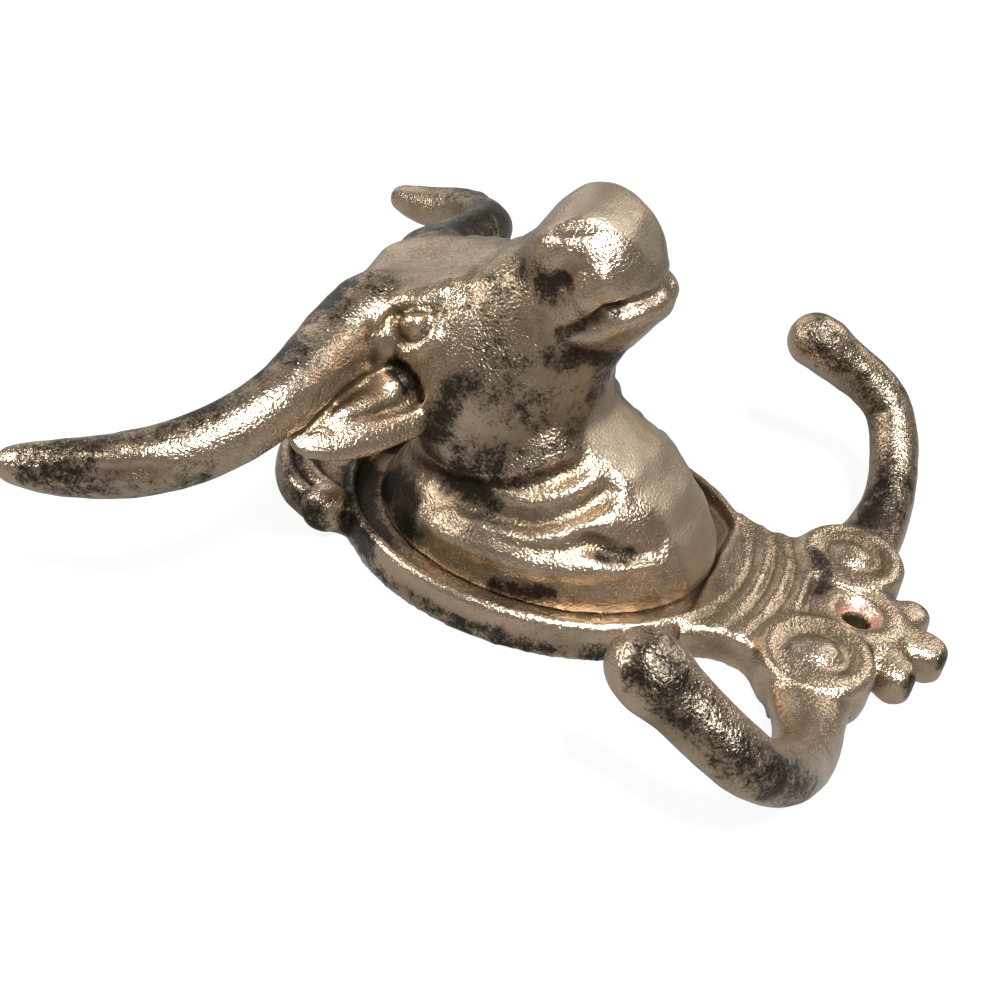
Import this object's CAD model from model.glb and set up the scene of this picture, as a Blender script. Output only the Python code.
"""Looks of a cast iron coat hook with a steer's head: rubbed copper paint over black iron."""

import bpy
import numpy as np
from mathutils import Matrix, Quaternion, Vector, noise


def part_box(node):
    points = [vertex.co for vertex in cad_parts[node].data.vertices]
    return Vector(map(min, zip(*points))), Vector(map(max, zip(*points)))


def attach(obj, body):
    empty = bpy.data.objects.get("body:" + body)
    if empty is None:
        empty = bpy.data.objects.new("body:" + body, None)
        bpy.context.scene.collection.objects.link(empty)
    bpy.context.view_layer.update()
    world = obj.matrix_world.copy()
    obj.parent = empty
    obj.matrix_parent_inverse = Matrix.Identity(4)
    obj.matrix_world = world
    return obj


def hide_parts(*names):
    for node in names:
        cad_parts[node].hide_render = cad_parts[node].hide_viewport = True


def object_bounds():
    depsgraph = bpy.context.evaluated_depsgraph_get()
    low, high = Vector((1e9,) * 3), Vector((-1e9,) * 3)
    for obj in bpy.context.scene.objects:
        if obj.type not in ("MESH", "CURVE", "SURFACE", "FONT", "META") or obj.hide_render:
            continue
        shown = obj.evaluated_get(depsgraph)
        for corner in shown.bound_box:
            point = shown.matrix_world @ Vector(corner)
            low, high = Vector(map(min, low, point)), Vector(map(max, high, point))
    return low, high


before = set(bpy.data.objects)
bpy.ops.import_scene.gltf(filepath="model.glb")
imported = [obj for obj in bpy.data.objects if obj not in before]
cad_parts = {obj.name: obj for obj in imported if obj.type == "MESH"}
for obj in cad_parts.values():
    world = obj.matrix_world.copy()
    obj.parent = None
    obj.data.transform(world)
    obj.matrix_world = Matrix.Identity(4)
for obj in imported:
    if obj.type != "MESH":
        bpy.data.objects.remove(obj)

bl_info = {
    "name": "Steer head coat hook",
    "version": (1, 0, 0),
    "blender": (4, 5, 0),
    "location": "View3D > Sidebar > Hook",
    "description": "Dresses the cast coat hook: carved skins, rubbed copper finish and a pale stage",
    "category": "Object",
}

CAD_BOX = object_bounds()
MM = 0.001
FLOOR_GAP = 0.2 * MM
SENSOR_WIDTH = 36
# How far a vertex moves towards its neighbours' average in one smoothing pass
PASS_SHARE = 0.5
# Relief that counts as full, in millimetres
FULL_RELIEF = 0.6

# Strokes on the left side, which are repeated on the right. A stroke is a route of points (x, out from
# the wall, z), a radius and a height in millimetres; a groove has a height below zero.
NECK_STROKES = [
    # upper fold
    ([(-23.7, 16, 27.6), (-27.3, 17.5, 15), (-27, 19, 3), (-23.5, 23, -3), (-18.3, 25, -10.4),
      (-12, 27.5, -13.5)], 5.5, 0.9),
    # groove above the upper fold
    ([(-20.3, 18.8, 29.6), (-24.6, 21.3, 16.5), (-25, 22.5, 3), (-20.4, 25.6, -4.6), (-15.4, 29.2, -8.6),
      (-11.7, 31, -9.6)], 4.0, -1.9),
    # lower fold
    ([(-22.4, 12, 33.8), (-27.4, 14, 21.4), (-29.6, 14.7, 6.7), (-26.3, 15.7, -8.4),
      (-15, 16.3, -23)], 4.4, 1.4),
    # groove that parts the folds
    ([(-24, 22.7, -3), (-22.3, 20.4, -9.4), (-20.6, 18.1, -15), (-16.8, 18, -19.5),
      (-12.3, 18, -23.2)], 3.4, -1.3),
]
JAW_STROKES = [
    # fill along the jaw's edge
    ([(-19.7, 30.3, 30.7), (-21.2, 31.2, 21.8), (-19.5, 32.4, 13.2), (-16.5, 35.5, 7),
      (-11.4, 38.3, 2.2)], 5.0, 1.8),
    # fill under the jaw
    ([(-11.2, 21.5, 37.3), (-18, 25.5, 28.3), (-21, 27.2, 20), (-21, 29, 12.2), (-18.7, 32, 6.2),
      (-14, 35, 2), (-8.8, 37, -0.3)], 6.5, 2.2),
]
FACE_STROKES = [
    # brow
    ([(-18.7, 57.8, 42), (-16.4, 59.8, 38.6), (-14.7, 61.3, 34.3), (-12.5, 63.8, 31.6)], 3.0, 0.9),
    # eyeball
    ([(-21.6, 56, 36.4), (-21.5, 56.5, 35)], 3.6, 1.1),
    # crease over the eye
    ([(-22.5, 53, 41), (-20.5, 55.7, 41.5), (-19.7, 58.6, 38), (-18.2, 59.7, 33.7),
      (-17.3, 59.3, 31)], 1.5, -0.9),
    # eye's front corner
    ([(-17.3, 59.3, 31), (-19.5, 58, 32.6), (-20.4, 54.7, 33), (-21, 52, 34.3)], 1.4, -0.7),
    # lower lid
    ([(-21, 48.8, 39.5), (-21, 50.2, 35.5), (-20.8, 53.2, 32), (-19, 56.5, 29.7)], 2.4, 1.2),
    # pit under the lower lid
    ([(-21.4, 46, 37.8), (-22.4, 44.2, 34.4)], 3.2, -0.9),
    # groove between horn and eye
    ([(-23, 56, 43.4), (-24.7, 52, 41.7), (-21.8, 44.3, 41.6)], 2.8, -0.8),
    # step across the nose
    ([(-15, 61, 25), (-14, 62.5, 27), (-7, 66.5, 28), (0, 68, 27)], 2.6, -0.6),
    # nostril's wing
    ([(-13, 75.5, 14), (-12.5, 77.5, 11)], 6.0, 1.3),
    # groove in front of the wing
    ([(-12, 79, 11.6), (-11.4, 81.5, 7.4), (-10, 81.8, 3.2)], 2.0, -0.6),
    # nostril
    ([(-14.4, 70, 9), (-15, 73.8, 6.6), (-14.2, 77, 4.4)], 3.0, -0.8),
    # upper lip
    ([(-15, 69, 2.3), (-14, 74, 0)], 3.6, 0.8),
    # mouth
    ([(-14, 61, 6.3), (-13.5, 64, 2), (-14.3, 67.3, -1.3), (-11.4, 68.6, -3.6), (-7, 70, -8),
      (0, 71, -9)], 1.9, -1.2),
    # lower lip
    ([(-13.3, 58.8, 4), (-12.6, 61.2, -0.5), (-12.2, 64.7, -4), (-10, 66.4, -6.5), (-5, 67, -9),
      (0, 67.5, -9.8)], 2.8, 1.1),
    # chin groove
    ([(-14.2, 55.6, 6.8), (-10.4, 55, 0.7), (-4.6, 53.4, -2.6), (0, 53, -3.5)], 3.0, -1.0),
    # crease under the jaw
    ([(-10.6, 16, 40.3), (-19.7, 21.4, 30), (-23, 24.2, 20.2), (-23.2, 26.8, 11), (-20.5, 29.5, 4.5),
      (-16.3, 32, 0), (-11.6, 34.2, -3)], 3.6, -2.0),
]
HORN_STROKES = [
    # crease along the horn
    ([(-79.4, 38.9, 80.5), (-78.3, 40, 75), (-76.3, 41.5, 68), (-73.5, 42.5, 62),
      (-70, 42, 57)], 2.2, -0.55),
    # ridge above the crease
    ([(-78.2, 42.6, 77), (-76.5, 44.4, 70), (-73.6, 45.6, 64), (-69.5, 46, 59)], 2.8, 0.45),
]
EAR_STROKES = [
    # fill of the cup
    ([(-41, 41.6, 42.6), (-34, 41.3, 40), (-26.5, 41, 37.5), (-22, 40.8, 35.6)], 4.0, 1.2),
    # fill at the root
    ([(-21.7, 43, 35.4), (-23.5, 43.6, 38)], 3.5, 1.0),
    # rim
    ([(-48, 40.3, 47), (-45, 46, 43.5), (-35.2, 47.8, 43), (-26.7, 46.5, 42.4)], 1.8, 0.5),
    # groove inside the rim
    ([(-47.8, 40, 45.7), (-41, 42.7, 44.7), (-32.6, 43.8, 43), (-27, 44, 41.5)], 1.7, -0.8),
]
PLATE_STROKES = [
    # volute's eye
    ([(-18.5, 11, -58), (-17.5, 11, -59.5)], 5.0, 0.9),
    # volute's groove
    ([(-24, 11, -55), (-18, 11, -52), (-12.5, 11, -56), (-12.5, 11, -61), (-18, 11, -65),
      (-24, 11, -62)], 2.6, -0.6),
]

# Daubs of a mask: a route, a radius and a strength. They are on both sides, apart from the far ones.
BUST_DARK = [
    # horn towards its tip
    ([(-66, 47.5, 63), (-71, 46, 68), (-75, 43.5, 77)], 8, 0.72),
    # horn's middle
    ([(-40, 54.5, 52), (-50, 52.5, 54), (-64, 48, 61)], 9, 0.7),
    # horn's underside
    ([(-79.6, 38.3, 82), (-78, 38.6, 70), (-73.4, 39, 60.5), (-67, 40, 54)], 7, 0.62),
    # horn's root
    ([(-26, 56.7, 53.3), (-18, 57.7, 54.5), (-14.8, 60.6, 49)], 9, 0.6),
    # side of the nose
    ([(-15, 61.3, 23), (-13, 64.6, 22.4), (-11.3, 68, 19)], 6, 0.5),
    # upper cheek
    ([(-16.3, 59.3, 19), (-18.8, 55, 19.3), (-19, 52.3, 15.7)], 6, 0.6),
    # cheek under the ear
    ([(-22, 49, 21.8), (-23, 45, 25), (-23.3, 39.8, 26.3), (-23.7, 35, 28.3)], 5, 0.75),
    # middle of the cheek
    ([(-18.8, 52, 14.5), (-20.6, 47, 15.7), (-18, 44.5, 8.8), (-14.5, 46.7, 5.4)], 9, 0.5),
    # jaw
    ([(-20.4, 30, 19.3), (-19, 32.4, 10), (-14, 37, 4.2), (-8.2, 40.8, 0.5), (-6, 45.6, -0.4)], 8, 0.6),
    # crease under the jaw
    ([(-21, 24, 25.4), (-23.7, 25.6, 14)], 6, 0.6),
    # chin
    ([(-14.2, 55.6, 6.8), (-10.4, 55, 0.7), (-4.6, 53.4, -2.6)], 6, 0.7),
    # nostril
    ([(-14.3, 69.5, 10.4), (-13, 70, 8.3)], 5.5, 0.62),
    # corner of the mouth
    ([(-14, 61, 6.3), (-13.5, 64, 2), (-14.3, 67.3, -1.3), (-11.4, 68.6, -3.6)], 2.2, 0.6),
    # nostril's wing
    ([(-13.3, 72.6, 12.6), (-12.8, 77, 11.6)], 5, 0.4),
    # pit under the lower lid
    ([(-21.4, 46, 37.8), (-22.4, 44.2, 34.4)], 3.5, 0.8),
    # crease over the eye
    ([(-20.5, 55.7, 41.5), (-19.7, 58.6, 38), (-18.2, 59.7, 33.7), (-17.3, 59.3, 31)], 1.8, 0.5),
    # back of the neck
    ([(-13.7, 9.5, 42.8), (-19.8, 13, 35), (-25, 9, 32)], 7, 1.0),
    # foot of the bust
    ([(-31.5, 7, 7), (-31, 8, 1.3), (-30, 9, -3.5)], 4, 0.8),
    # lower fold
    ([(-22.4, 17.8, -12.4), (-19.7, 17.8, -16.7)], 3.5, 0.75),
    # top of the throat
    ([(-9.5, 35.4, -2.8), (-10.4, 33, -6.8)], 5, 0.6),
]
BUST_DARK_FAR = [
    # far horn
    ([(25, 57, 46.6), (41.8, 54.8, 48.8), (53.7, 51.8, 50), (46, 51.4, 44.7)], 9, 0.95),
]
BUST_GROUND = [
    # throat
    ([(0, 34, -3), (0, 27, -14), (0, 19, -22), (0, 11, -29)], 14, 1.0),
    # nose
    ([(-4, 84, 6), (0, 79, -3)], 8, 0.9),
]
PLATE_DARK = [
    # pan behind the neck
    ([(-28, 6, 38), (-20, 6, 47), (-8, 6, 52)], 7, 1.0),
    # crest's ball
    ([(-31, 9, 53), (-30, 4, 52)], 5, 0.8),
    # crest's scroll
    ([(-30, 6, 56), (-22, 8, 63), (-10, 8, 68)], 8, 0.62),
    # hook's outer side
    ([(-71.5, 39, -36), (-72, 34, -42), (-72.5, 30.5, -49), (-72, 28, -53), (-69, 23, -59.6),
      (-62, 14.4, -64.5)], 8, 0.85),
    # hook's end
    ([(-67, 42, -32.6), (-66.6, 41.4, -36)], 4, 0.6),
    # side toe
    ([(-12.4, 6.6, -78), (-12, 4, -79)], 3.5, 1.0),
    # middle toe
    ([(-2.8, 6, -83), (0, 5, -84)], 3.5, 1.0),
    # rim's outer side
    ([(-30, 2, 37), (-39, 1.6, 19), (-40, 2, 5), (-37, 2, -12), (-28, 2, -27)], 4, 0.68),
]
PLATE_DARK_FAR = [
    # between waist and volute
    ([(14, 10, -51), (7, 10, -55), (2, 9, -55)], 3.2, 0.8),
    # far hook
    ([(60, 39, -36), (62, 34, -42), (64, 25, -52), (56, 18, -61), (35, 10.6, -62)], 9, 0.72),
]
PLATE_BARE = [
    # countersink
    ([(4.2, 8.2, -64), (0, 8.2, -59.8), (-4.2, 8.2, -64), (0, 8.2, -68.2), (4.2, 8.2, -64)], 1.9, 1.0),
]

# Places that are smoothed, as daubs on both sides
BUST_SOFT = [
    # side of the neck
    ([(-20, 14, 36), (-27, 17, 20), (-28, 18, 4), (-23, 20, -8), (-14, 22, -18)], 15, 1.0),
    # throat
    ([(0, 34, -3), (0, 27, -14), (0, 19, -22), (0, 11, -29)], 14, 1.0),
    # mouth
    ([(-14, 60, 7), (-12, 70, -5), (0, 74, -7)], 5, 1.0),
    # eye
    ([(-22, 54, 41), (-20, 57, 34), (-18, 58, 30)], 8, 0.8),
    # nostril
    ([(-14.5, 71, 10), (-14.5, 70, 8)], 7.5, 1.0),
    # ear's cup
    ([(-43, 41.5, 42), (-34, 42, 40.5), (-22, 42, 36)], 5, 0.8),
]
JAW_SOFT = [
    # jaw's edge
    ([(-19.7, 30.3, 30.7), (-21.2, 31.2, 21.8), (-19.5, 32.4, 13.2), (-16.5, 35.5, 7),
      (-11.4, 38.3, 2.2)], 8, 1.0),
    # ear's root
    ([(-24.5, 42.5, 37), (-22, 42, 34.5)], 4.5, 1.0),
]
PLATE_SOFT = [
    # volute
    ([(-19, 11, -58), (-17, 11, -59)], 13, 1.0),
    # side toe
    ([(-6, 8, -72), (-10, 8, -76)], 8, 0.8),
    # middle toe
    ([(0, 8, -74), (0, 8, -80)], 8, 0.8),
    # hook's end
    ([(-66, 30, -40), (-66, 26, -48)], 10, 1.0),
    # waist's ribs
    ([(-12, 9, -36), (-8, 9, -47)], 9, 0.8),
    # hook's root
    ([(-32, 1.5, -53.4), (-35, 3.5, -54.2)], 5.5, 1.0),
]

# Hollows that the skin fills: a place on the mouth of the hollow, the way that it faces, a radius and the
# depth that is left
BUST_HOLLOWS = [
    # nostril
    ((-14.3, 70.5, 9.2), (-0.97, 0.03, 0.23), 5.0, 0.7),
    # ear's root
    ((-23.5, 41.5, 35), (-0.76, 0.46, -0.46), 3.4, 0.6),
]

# Lamps: a name, a place from the hook's middle in metres, a width in metres, a power in watts and a tint
LAMPS = [
    ("over_lamp", (-0.3, -0.78, -0.3), 0.24, 21, (0.88, 0.95, 1.0)),
    ("side_lamp", (-0.35, -0.5, 0.7), 0.25, 5, (1, 1, 1)),
    ("far_lamp", (0.6, -0.5, -0.3), 0.3, 1.5, (1, 1, 1)),
    ("back_lamp", (0.62, -0.38, 0.6), 0.6, 1.25, (1, 1, 1)),
]


class CastingSettings(bpy.types.PropertyGroup):
    """How finely the castings are skinned and how far sand and paint soften them."""

    bust_grid: bpy.props.FloatProperty(
        name="Bust grid", description="Spacing of the bust's skin",
        default=0.64 * MM, unit="LENGTH", precision=5)
    plate_grid: bpy.props.FloatProperty(
        name="Plate grid", description="Spacing of the plate's skin",
        default=0.62 * MM, unit="LENGTH", precision=5)
    softening: bpy.props.IntProperty(
        name="Softening", description="Smoothing passes that round the cast edges", default=8, min=0)
    bust_ease: bpy.props.IntProperty(
        name="Bust ease", description="Smoothing passes on the bust's soft places", default=31, min=0)
    jaw_ease: bpy.props.IntProperty(
        name="Jaw ease", description="Smoothing passes on the filled jaw", default=38, min=0)
    plate_ease: bpy.props.IntProperty(
        name="Plate ease", description="Smoothing passes on the plate's soft places", default=26, min=0)
    settling: bpy.props.IntProperty(
        name="Settling", description="Smoothing passes after the bust's strokes", default=2, min=0)
    bust_relief: bpy.props.IntProperty(
        name="Bust relief", description="Smoothing passes that the bust's relief is measured from",
        default=70, min=0)
    plate_relief: bpy.props.IntProperty(
        name="Plate relief", description="Smoothing passes that the plate's relief is measured from",
        default=90, min=0)
    lump_spacing: bpy.props.FloatProperty(
        name="Lump spacing", description="Spacing of the sand mould's lumps, in millimetres", default=4.0)
    lump_height: bpy.props.FloatProperty(
        name="Lump height", description="Height of the sand mould's lumps, in millimetres", default=0.16)


class FinishSettings(bpy.types.PropertyGroup):
    """Colours of the rubbed finish."""

    copper: bpy.props.FloatVectorProperty(
        name="Copper", description="Rubbed paint on raised parts", default=(0.50, 0.38, 0.268), size=3,
        subtype="COLOR")
    umber: bpy.props.FloatVectorProperty(
        name="Umber", description="Thin paint between the raised parts", default=(0.21, 0.145, 0.088), size=3,
        subtype="COLOR")
    black: bpy.props.FloatVectorProperty(
        name="Black", description="Iron where the paint is gone", default=(0.026, 0.019, 0.014), size=3,
        subtype="COLOR")
    filed: bpy.props.FloatVectorProperty(
        name="Filed", description="Casting seams that were ground flat", default=(0.30, 0.235, 0.17), size=3,
        subtype="COLOR")
    bare_copper: bpy.props.FloatVectorProperty(
        name="Bare copper", description="Countersink cut through the paint", default=(0.62, 0.40, 0.31),
        size=3, subtype="COLOR")
    zinc: bpy.props.FloatVectorProperty(
        name="Zinc", description="Fixing screw", default=(0.55, 0.54, 0.50), size=3, subtype="COLOR")
    dull_zinc: bpy.props.FloatVectorProperty(
        name="Dull zinc", description="Clouded patches on the fixing screw", default=(0.36, 0.35, 0.32),
        size=3, subtype="COLOR")


class StageSettings(bpy.types.PropertyGroup):
    """Camera, floor and room light."""

    camera_place: bpy.props.FloatVectorProperty(
        name="Camera place", description="Where the camera stands", default=(-0.2157, -0.1746, -0.0586),
        size=3, subtype="TRANSLATION")
    camera_target: bpy.props.FloatVectorProperty(
        name="Camera target", description="The point that the camera looks at",
        default=(-0.0311, -0.0300, 0.0087), size=3, subtype="TRANSLATION")
    camera_roll: bpy.props.FloatProperty(
        name="Camera roll", description="Turn about the line of sight", default=np.radians(-70.56),
        subtype="ANGLE")
    lens: bpy.props.FloatProperty(
        name="Lens", description="Focal length on a 36 mm wide sensor, in millimetres", default=43.91)
    floor_colour: bpy.props.FloatVectorProperty(
        name="Floor", description="Colour of the surface that the hook lies on", default=(0.94, 0.94, 0.94),
        size=3, subtype="COLOR")
    floor_bounce: bpy.props.FloatVectorProperty(
        name="Floor bounce", description="Colour of the light that the floor throws back",
        default=(0.2, 0.19, 0.18), size=3, subtype="COLOR")
    floor_reach: bpy.props.FloatProperty(
        name="Floor reach", description="Half the floor's width", default=4.0, unit="LENGTH")
    room_colour: bpy.props.FloatVectorProperty(
        name="Room", description="Colour of the light that comes from all round", default=(1.0, 0.95, 0.88),
        size=3, subtype="COLOR")
    room_strength: bpy.props.FloatProperty(
        name="Room strength", description="Strength of the light that comes from all round", default=0.21)


class Wire:
    """A value in a shader: arithmetic on it adds Math nodes."""

    def __init__(self, shader, socket):
        self.shader = shader
        self.socket = socket

    def math(self, operation, first, second):
        return self.shader.node("ShaderNodeMath", {"operation": operation}, {0: first, 1: second})

    def __add__(self, other):
        return self.math("ADD", self, other)

    def __radd__(self, other):
        return self.math("ADD", other, self)

    def __sub__(self, other):
        return self.math("SUBTRACT", self, other)

    def __rsub__(self, other):
        return self.math("SUBTRACT", other, self)

    def __mul__(self, other):
        return self.math("MULTIPLY", self, other)

    def __rmul__(self, other):
        return self.math("MULTIPLY", other, self)

    def step(self, low, high):
        """0 below low and 1 above high, with a smooth rise between."""
        settings = {"interpolation_type": "SMOOTHSTEP"}
        return self.shader.node("ShaderNodeMapRange", settings, {0: self, 1: low, 2: high})


class Shader:
    """A new material whose nodes are added one call at a time."""

    def __init__(self, name):
        self.material = bpy.data.materials.new(name)
        self.material.use_nodes = True
        self.tree = self.material.node_tree
        self.tree.nodes.clear()

    def node(self, kind, settings=None, inputs=None, output=0):
        """Adds a node, sets its options, then its sockets, and returns one of its outputs."""
        made = self.tree.nodes.new(kind)
        for option, value in (settings or {}).items():
            setattr(made, option, value)
        for socket, value in (inputs or {}).items():
            if isinstance(value, Wire):
                self.tree.links.new(value.socket, made.inputs[socket])
            else:
                made.inputs[socket].default_value = value
        return Wire(self, made.outputs[output])

    def place(self):
        """The place on the object, in metres."""
        return self.node("ShaderNodeTexCoord", output="Object")

    def noise(self, scale, detail, roughness):
        """A noise over the object, with so many patches a metre."""
        inputs = {"Vector": self.place(), "Scale": scale, "Detail": detail, "Roughness": roughness}
        return self.node("ShaderNodeTexNoise", {}, inputs)

    def mask(self, name):
        """A value that was painted on the mesh."""
        return self.node("ShaderNodeAttribute", {"attribute_name": name}, output="Fac")

    def blend(self, share, first, second):
        """From the first colour to the second by a share."""
        first = first if isinstance(first, Wire) else (*first, 1)
        second = second if isinstance(second, Wire) else (*second, 1)
        return self.node("ShaderNodeMix", {"data_type": "RGBA"}, {0: share, 6: first, 7: second}, output=2)

    def bump(self, height, depth, strength, under=None):
        """Small relief, on top of another where one is given."""
        inputs = {"Height": height, "Distance": depth, "Strength": strength}
        if under is not None:
            inputs["Normal"] = under
        return self.node("ShaderNodeBump", {}, inputs)

    def finish(self, surface):
        """The material with its surface joined on."""
        end = self.tree.nodes.new("ShaderNodeOutputMaterial")
        self.tree.links.new(surface.socket, end.inputs["Surface"])
        return self.material


class Casting:
    """A fine skin over a solid, in millimetres, that is carved with strokes and then made into a piece."""

    def __init__(self, node, name, grid):
        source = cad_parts[node]
        rough = bpy.data.objects.new(name + "_rough", source.data.copy())
        bpy.context.scene.collection.objects.link(rough)
        skin = rough.modifiers.new("skin", "REMESH")
        skin.mode = "VOXEL"
        skin.voxel_size = grid
        skin.use_smooth_shade = True
        seen = rough.evaluated_get(bpy.context.evaluated_depsgraph_get())
        self.mesh = bpy.data.meshes.new_from_object(seen)
        bpy.data.objects.remove(rough)
        self.mesh.name = name
        self.node = node
        self.name = name
        self.low, self.high = (np.array(corner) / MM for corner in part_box(node))
        self.place = self.read(self.mesh.vertices, "co", 3, np.float32) / MM
        ends = self.read(self.mesh.edges, "vertices", 2, np.int32)
        self.one, self.other = ends[:, 0], ends[:, 1]
        self.ties = np.bincount(np.r_[self.one, self.other], minlength=len(self.place))

    @staticmethod
    def read(items, field, width, kind):
        """One field of all vertices or edges, with a row for each."""
        values = np.empty(len(items) * width, kind)
        items.foreach_get(field, values)
        return values.reshape(-1, width).astype(np.int64 if kind is np.int32 else float)

    def even(self, values):
        """Each vertex's value averaged over its neighbours."""
        size = len(values)
        total = np.stack([
            np.bincount(self.one, column[self.other], size) + np.bincount(self.other, column[self.one], size)
            for column in values.T
        ], axis=1)
        return total / np.maximum(self.ties, 1)[:, None]

    def smooth(self, passes, mask=1.0):
        """Rounds the skin, by a mask where one is given."""
        for _ in range(passes):
            self.place += PASS_SHARE * mask * (self.even(self.place) - self.place)

    def normals(self):
        """Writes the places to the mesh and reads its normals."""
        self.mesh.vertices.foreach_set("co", (self.place * MM).astype(np.float32).ravel())
        self.mesh.update()
        return self.read(self.mesh.vertex_normals, "vector", 3, np.float32)

    def nearest(self, points):
        """Points moved onto the skin."""
        return np.array([self.place[((self.place - point) ** 2).sum(1).argmin()] for point in points])

    def reach(self, route, radius):
        """The vertices within a radius of a route, with their distance from it and share along it."""
        close = np.all((self.place > route.min(0) - radius) & (self.place < route.max(0) + radius), axis=1)
        chosen = np.flatnonzero(close)
        best = np.full(len(chosen), np.inf)
        share = np.zeros(len(chosen))
        for number, (start, end) in enumerate(zip(route[:-1], route[1:])):
            run = end - start
            along = np.clip((self.place[chosen] - start) @ run / max(run @ run, 1e-9), 0, 1)
            gap = np.linalg.norm(self.place[chosen] - start - along[:, None] * run, axis=1)
            nearer = gap < best
            best[nearer] = gap[nearer]
            share[nearer] = (number + along[nearer]) / (len(route) - 1)
        inside = best < radius
        return chosen[inside], best[inside], share[inside]

    def stroke(self, points, radius, height, fade=0.2):
        """Raises or sinks the skin along a route. A route of more than two points fades towards its ends."""
        route = self.nearest(curve(points))
        normals = self.normals()
        chosen, gap, share = self.reach(route, radius)
        swell = (1 - (gap / radius) ** 2) ** 2
        if len(points) > 2:
            swell *= np.clip(np.minimum(share, 1 - share) / fade, 0, 1)
        self.place[chosen] += normals[chosen] * (height * swell)[:, None]

    def both(self, strokes):
        """Makes strokes on the left side and again on the right."""
        for points, radius, height in strokes:
            self.stroke(spots(points), radius, height)
            self.stroke(spots(points) * (-1, 1, 1), radius, height)

    def daub(self, daubs, sides=(1, -1)):
        """A mask that is strongest along the routes of some daubs."""
        mask = np.zeros(len(self.place))
        for points, radius, strength in daubs:
            for side in sides:
                chosen, gap, _ = self.reach(curve(spots(points) * (side, 1, 1)), radius)
                mask[chosen] = np.maximum(mask[chosen], strength * (1 - (gap / radius) ** 2))
        return mask

    def ease(self, routes, passes):
        """Smooths the skin near some routes."""
        self.smooth(passes, self.daub(routes)[:, None])

    def plug(self, hollows, deepest=8, tilt=-0.3):
        """Fills hollows on both sides up to the depth that is left. A wall that faces away stays."""
        normals = self.normals()
        for place, facing, radius, depth in hollows:
            for side in (1, -1):
                way = spots(facing) * (side, 1, 1)
                offset = self.place - spots(place) * (side, 1, 1)
                level = offset @ way
                aside = np.linalg.norm(offset - np.outer(level, way), axis=1)
                deep = (aside < radius) & (level < -depth) & (level > -deepest) & (normals @ way > tilt)
                self.place[deep] -= np.outer(level[deep] + depth, way)

    def lumps(self, spacing, height):
        """Raises and sinks the skin by a soft noise, as sand moulds do."""
        normals = self.normals()
        swell = np.array([noise.noise(point) for point in self.place / spacing])
        self.place += normals * (height * swell)[:, None]

    def relief(self, passes):
        """How far each vertex stands above the skin smoothed by some passes."""
        normals = self.normals()
        level = self.place.copy()
        for _ in range(passes):
            level += PASS_SHARE * (self.even(level) - level)
        return ((self.place - level) * normals).sum(1)

    def paint(self, name, values):
        """Keeps a mask on the mesh for the material."""
        layer = self.mesh.attributes.new(name, "FLOAT", "POINT")
        layer.data.foreach_set("value", np.asarray(values, np.float32))

    def rub(self, dark, dark_far, passes):
        """Paints the masks of both castings: where the paint is gone, and how far the skin stands out."""
        self.paint("dark", np.maximum(self.daub(dark), self.daub(dark_far, sides=(1,))))
        self.paint("relief_broad", np.clip(self.relief(passes) / FULL_RELIEF, -1, 1))

    def piece(self, material):
        """The finished skin as an object in place of its solid."""
        self.place = np.clip(self.place, self.low, self.high)
        self.normals()
        made = bpy.data.objects.new(self.name, self.mesh)
        bpy.context.scene.collection.objects.link(made)
        self.mesh.materials.clear()
        self.mesh.materials.append(material)
        self.mesh.polygons.foreach_set("use_smooth", np.ones(len(self.mesh.polygons), bool))
        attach(made, "root")
        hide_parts(self.node)


def spots(points):
    """Points (x, out from the wall, z) as places in the frame."""
    return np.array(points, float) * (1, -1, 1)


def curve(points, steps=6):
    """A smooth line through points."""
    padded = np.vstack([2 * points[0] - points[1], points, 2 * points[-1] - points[-2]])
    line = []
    for before, start, end, after in zip(padded, padded[1:], padded[2:], padded[3:]):
        for share in np.linspace(0, 1, steps, endpoint=False):
            line.append(0.5 * (2 * start + (end - before) * share
                               + (2 * before - 5 * start + 4 * end - after) * share ** 2
                               + (3 * start - before - 3 * end + after) * share ** 3))
    return np.array(line + [points[-1]])


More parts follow.
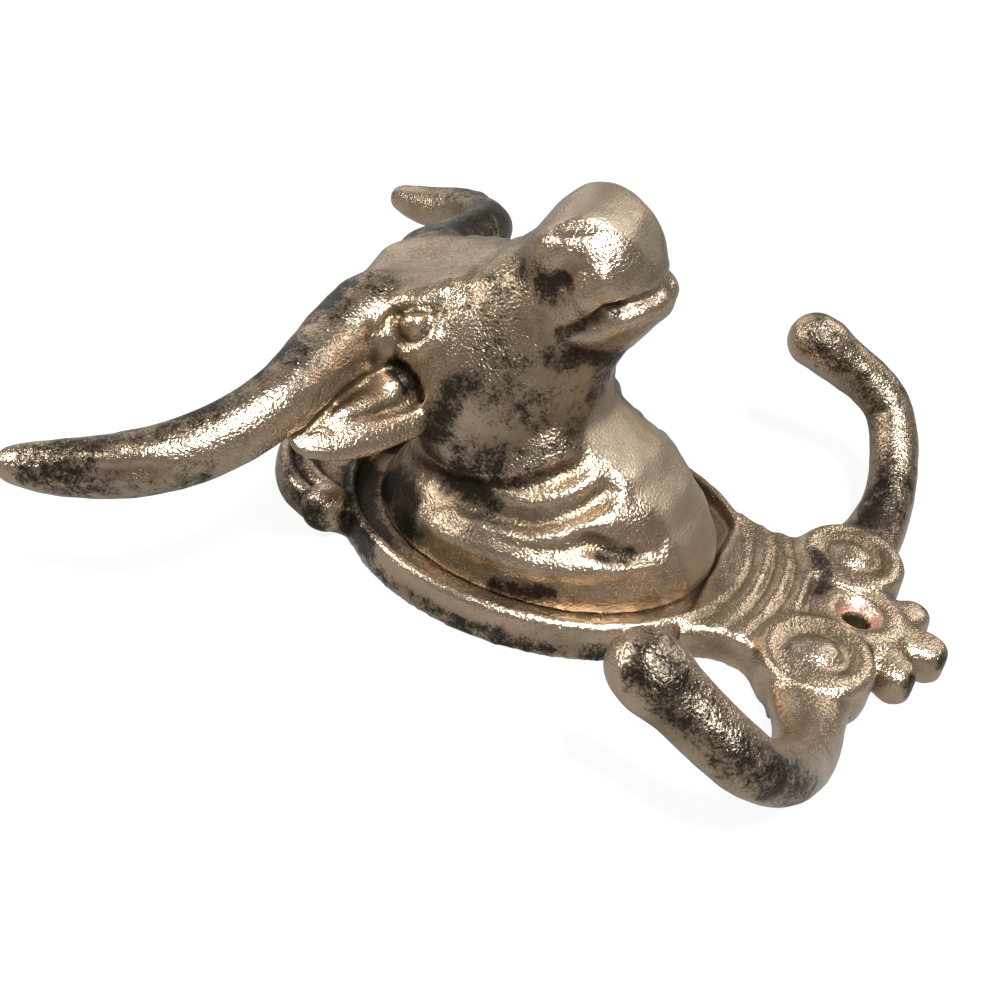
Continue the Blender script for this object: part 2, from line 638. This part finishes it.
def rubbed_copper(name):
    """Copper paint over grainy iron: brown in the hollows, black where it was daubed, filed at the seams."""
    colours = bpy.context.scene.hook_finish
    shader = Shader(name)
    broad = shader.mask("relief_broad")
    dark = shader.mask("dark")
    ground = shader.mask("ground")
    bare = shader.mask("bare")
    cloud = shader.noise(60, 5, 0.6)
    blotch = shader.noise(330, 6, 0.75)
    speck = shader.noise(1500, 4, 0.7)
    pebble = shader.noise(1700, 2, 0.5)
    worn = (cloud * 1.2 + blotch * 0.6 + speck * 0.5 + broad * 0.25 - 0.65).step(0.1, 0.9)
    colour = shader.blend(worn, colours.umber, colours.copper)
    dirt = dark * 0.9 + (cloud - 0.5) * 1.3 + (blotch - 0.5) * 1.7 + (speck - 0.5) * 1.1 - broad * 0.12 + 0.06
    gone = dirt.step(0.2, 0.75)
    colour = shader.blend(gone * 0.96, colour, colours.black)
    filed = (ground + (blotch - 0.5) * 0.5).step(0.25, 0.6)
    colour = shader.blend(filed * 0.6, colour, colours.filed)
    cut = bare.step(0.2, 0.5)
    colour = shader.blend(cut, colour, colours.bare_copper)
    grain = shader.bump(pebble, 0.3 * MM, 0.8 - 0.3 * filed)
    hammered = shader.bump(shader.noise(420, 3, 0.55), 1.0 * MM, 0.14 - 0.08 * filed, grain)
    surface = shader.node("ShaderNodeBsdfPrincipled", {}, {
        "Base Color": colour,
        "Metallic": 0.95,
        "Roughness": 0.22 + 0.12 * gone + 0.1 * (1 - worn) + 0.24 * filed,
        "Normal": hammered,
    })
    return shader.finish(surface)


def zinc_steel(name):
    """Plain zinc on a turned steel screw."""
    colours = bpy.context.scene.hook_finish
    shader = Shader(name)
    cloud = shader.noise(400, 4, 0.6)
    turned = shader.node("ShaderNodeTexNoise", {}, {
        "Vector": shader.node("ShaderNodeVectorMath", {"operation": "MULTIPLY"}, {
            0: shader.place(), 1: (300.0, 6000.0, 300.0)}),
        "Scale": 1.0,
        "Detail": 2.0,
    })
    dull = shader.blend(cloud.step(0.35, 0.75), colours.zinc, colours.dull_zinc)
    surface = shader.node("ShaderNodeBsdfPrincipled", {}, {
        "Base Color": dull,
        "Metallic": 1.0,
        "Roughness": 0.3 + 0.25 * cloud,
        "Normal": shader.bump(turned, 0.1 * MM, 0.3),
    })
    return shader.finish(surface)


def pale_floor(name):
    """A floor that looks white, throws back little light and can't be seen from behind."""
    stage = bpy.context.scene.hook_stage
    shader = Shader(name)
    camera = shader.node("ShaderNodeLightPath", output="Is Camera Ray")
    gloss = shader.node("ShaderNodeLightPath", output="Is Glossy Ray")
    tone = shader.blend(camera, stage.floor_bounce, stage.floor_colour)
    matt = shader.node("ShaderNodeBsdfDiffuse", {}, {"Color": tone})
    white = shader.node("ShaderNodeEmission", {}, {"Color": (1, 1, 1, 1), "Strength": 1.0})
    front = shader.node("ShaderNodeMixShader", {}, {0: camera * 0.9 + gloss * 0.12, 1: matt, 2: white})
    behind = shader.node("ShaderNodeNewGeometry", output="Backfacing")
    clear = shader.node("ShaderNodeBsdfTransparent")
    return shader.finish(shader.node("ShaderNodeMixShader", {}, {0: behind, 1: front, 2: clear}))


def lamp(name, place, target, size, power, tint):
    """A soft square lamp that faces a target."""
    data = bpy.data.lights.new(name, "AREA")
    data.size = size
    data.energy = power
    data.color = tint
    made = bpy.data.objects.new(name, data)
    made.visible_camera = False
    made.location = place
    made.rotation_euler = (target - place).to_track_quat("-Z", "Y").to_euler()
    bpy.context.scene.collection.objects.link(made)


def lay_floor(stage):
    """A wide square just behind the hook's back."""
    reach = stage.floor_reach
    back = CAD_BOX[1][1] + FLOOR_GAP
    corners = [(-reach, back, -reach), (reach, back, -reach), (reach, back, reach), (-reach, back, reach)]
    mesh = bpy.data.meshes.new("floor")
    mesh.from_pydata(corners, [], [(0, 1, 2, 3)])
    mesh.materials.append(pale_floor("floor_matt"))
    floor = bpy.data.objects.new("floor", mesh)
    bpy.context.scene.collection.objects.link(floor)


def light_room(stage):
    """Soft light from all round, which the camera sees as plain white."""
    world = bpy.data.worlds.new("studio")
    bpy.context.scene.world = world
    world.use_nodes = True
    tree = world.node_tree
    tree.nodes.clear()
    seen = tree.nodes.new("ShaderNodeBackground")
    seen.inputs["Strength"].default_value = 1.0
    room = tree.nodes.new("ShaderNodeBackground")
    room.inputs["Color"].default_value = (*stage.room_colour, 1)
    room.inputs["Strength"].default_value = stage.room_strength
    path = tree.nodes.new("ShaderNodeLightPath")
    mix = tree.nodes.new("ShaderNodeMixShader")
    tree.links.new(path.outputs["Is Camera Ray"], mix.inputs[0])
    tree.links.new(room.outputs[0], mix.inputs[1])
    tree.links.new(seen.outputs[0], mix.inputs[2])
    out = tree.nodes.new("ShaderNodeOutputWorld")
    tree.links.new(mix.outputs[0], out.inputs[0])


def aim_camera(stage):
    """The camera of the photograph, turned about its line of sight."""
    view = bpy.data.cameras.new("camera")
    view.lens = stage.lens
    view.sensor_width = SENSOR_WIDTH
    view.clip_start = 10 * MM
    camera = bpy.data.objects.new("camera", view)
    camera.location = stage.camera_place
    sight = Vector(stage.camera_target) - Vector(stage.camera_place)
    camera.rotation_mode = "QUATERNION"
    camera.rotation_quaternion = sight.to_track_quat("-Z", "Y") @ Quaternion((0, 0, 1), stage.camera_roll)
    bpy.context.scene.collection.objects.link(camera)
    bpy.context.scene.camera = camera


class HOOK_OT_bust(bpy.types.Operator):
    """Carves the steer's bust over its solid"""

    bl_idname = "hook.bust"
    bl_label = "Steer's bust"

    def execute(self, context):
        settings = context.scene.hook_casting
        bust = Casting("steer_head", "bust_casting", settings.bust_grid)
        bust.smooth(settings.softening)
        bust.plug(BUST_HOLLOWS)
        bust.ease(BUST_SOFT, settings.bust_ease)
        bust.both(JAW_STROKES)
        bust.ease(JAW_SOFT, settings.jaw_ease)
        bust.both(NECK_STROKES)
        bust.both(FACE_STROKES)
        bust.both(HORN_STROKES)
        bust.both(EAR_STROKES)
        bust.smooth(settings.settling)
        bust.lumps(settings.lump_spacing, settings.lump_height)
        bust.rub(BUST_DARK, BUST_DARK_FAR, settings.bust_relief)
        bust.paint("ground", bust.daub(BUST_GROUND))
        bust.piece(rubbed_copper("bust_finish"))
        return {"FINISHED"}


class HOOK_OT_plate(bpy.types.Operator):
    """Softens the plate casting with its hooks"""

    bl_idname = "hook.plate"
    bl_label = "Plate and hooks"

    def execute(self, context):
        settings = context.scene.hook_casting
        plate = Casting("hook_plate", "plate_casting", settings.plate_grid)
        plate.smooth(settings.softening)
        plate.ease(PLATE_SOFT, settings.plate_ease)
        plate.both(PLATE_STROKES)
        plate.lumps(settings.lump_spacing, settings.lump_height)
        plate.rub(PLATE_DARK, PLATE_DARK_FAR, settings.plate_relief)
        plate.paint("bare", plate.daub(PLATE_BARE))
        plate.piece(rubbed_copper("plate_finish"))
        return {"FINISHED"}


class HOOK_OT_screw(bpy.types.Operator):
    """Gives the fixing screw its zinc"""

    bl_idname = "hook.screw"
    bl_label = "Fixing screw"

    def execute(self, context):
        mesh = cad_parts["head_screw"].data
        mesh.materials.clear()
        mesh.materials.append(zinc_steel("screw_zinc"))
        return {"FINISHED"}


class HOOK_OT_stage(bpy.types.Operator):
    """Sets the floor, the lamps and the camera"""

    bl_idname = "hook.stage"
    bl_label = "Stage"

    def execute(self, context):
        stage = context.scene.hook_stage
        lay_floor(stage)
        centre = (Vector(CAD_BOX[0]) + Vector(CAD_BOX[1])) / 2
        for name, offset, size, power, tint in LAMPS:
            lamp(name, centre + Vector(offset), centre, size, power, tint)
        light_room(stage)
        aim_camera(stage)
        context.scene.view_settings.view_transform = "Standard"
        return {"FINISHED"}


class HOOK_PT_panel(bpy.types.Panel):
    """Lists the hook's pieces and stage"""

    bl_label = "Coat hook"
    bl_idname = "HOOK_PT_panel"
    bl_space_type = "VIEW_3D"
    bl_region_type = "UI"
    bl_category = "Hook"

    def draw(self, context):
        for operator in (HOOK_OT_bust, HOOK_OT_plate, HOOK_OT_screw, HOOK_OT_stage):
            self.layout.operator(operator.bl_idname)
        for group in (context.scene.hook_casting, context.scene.hook_finish, context.scene.hook_stage):
            for name in group.bl_rna.properties.keys():
                if name not in ("rna_type", "name"):
                    self.layout.prop(group, name)


CLASSES = (CastingSettings, FinishSettings, StageSettings,
           HOOK_OT_bust, HOOK_OT_plate, HOOK_OT_screw, HOOK_OT_stage, HOOK_PT_panel)


def register():
    for item in CLASSES:
        bpy.utils.register_class(item)
    bpy.types.Scene.hook_casting = bpy.props.PointerProperty(type=CastingSettings)
    bpy.types.Scene.hook_finish = bpy.props.PointerProperty(type=FinishSettings)
    bpy.types.Scene.hook_stage = bpy.props.PointerProperty(type=StageSettings)


def unregister():
    for name in ("hook_casting", "hook_finish", "hook_stage"):
        delattr(bpy.types.Scene, name)
    for item in reversed(CLASSES):
        bpy.utils.unregister_class(item)


def main():
    register()
    bpy.ops.hook.bust()
    bpy.ops.hook.plate()
    bpy.ops.hook.screw()
    bpy.ops.hook.stage()


if __name__ == "__main__":
    main()
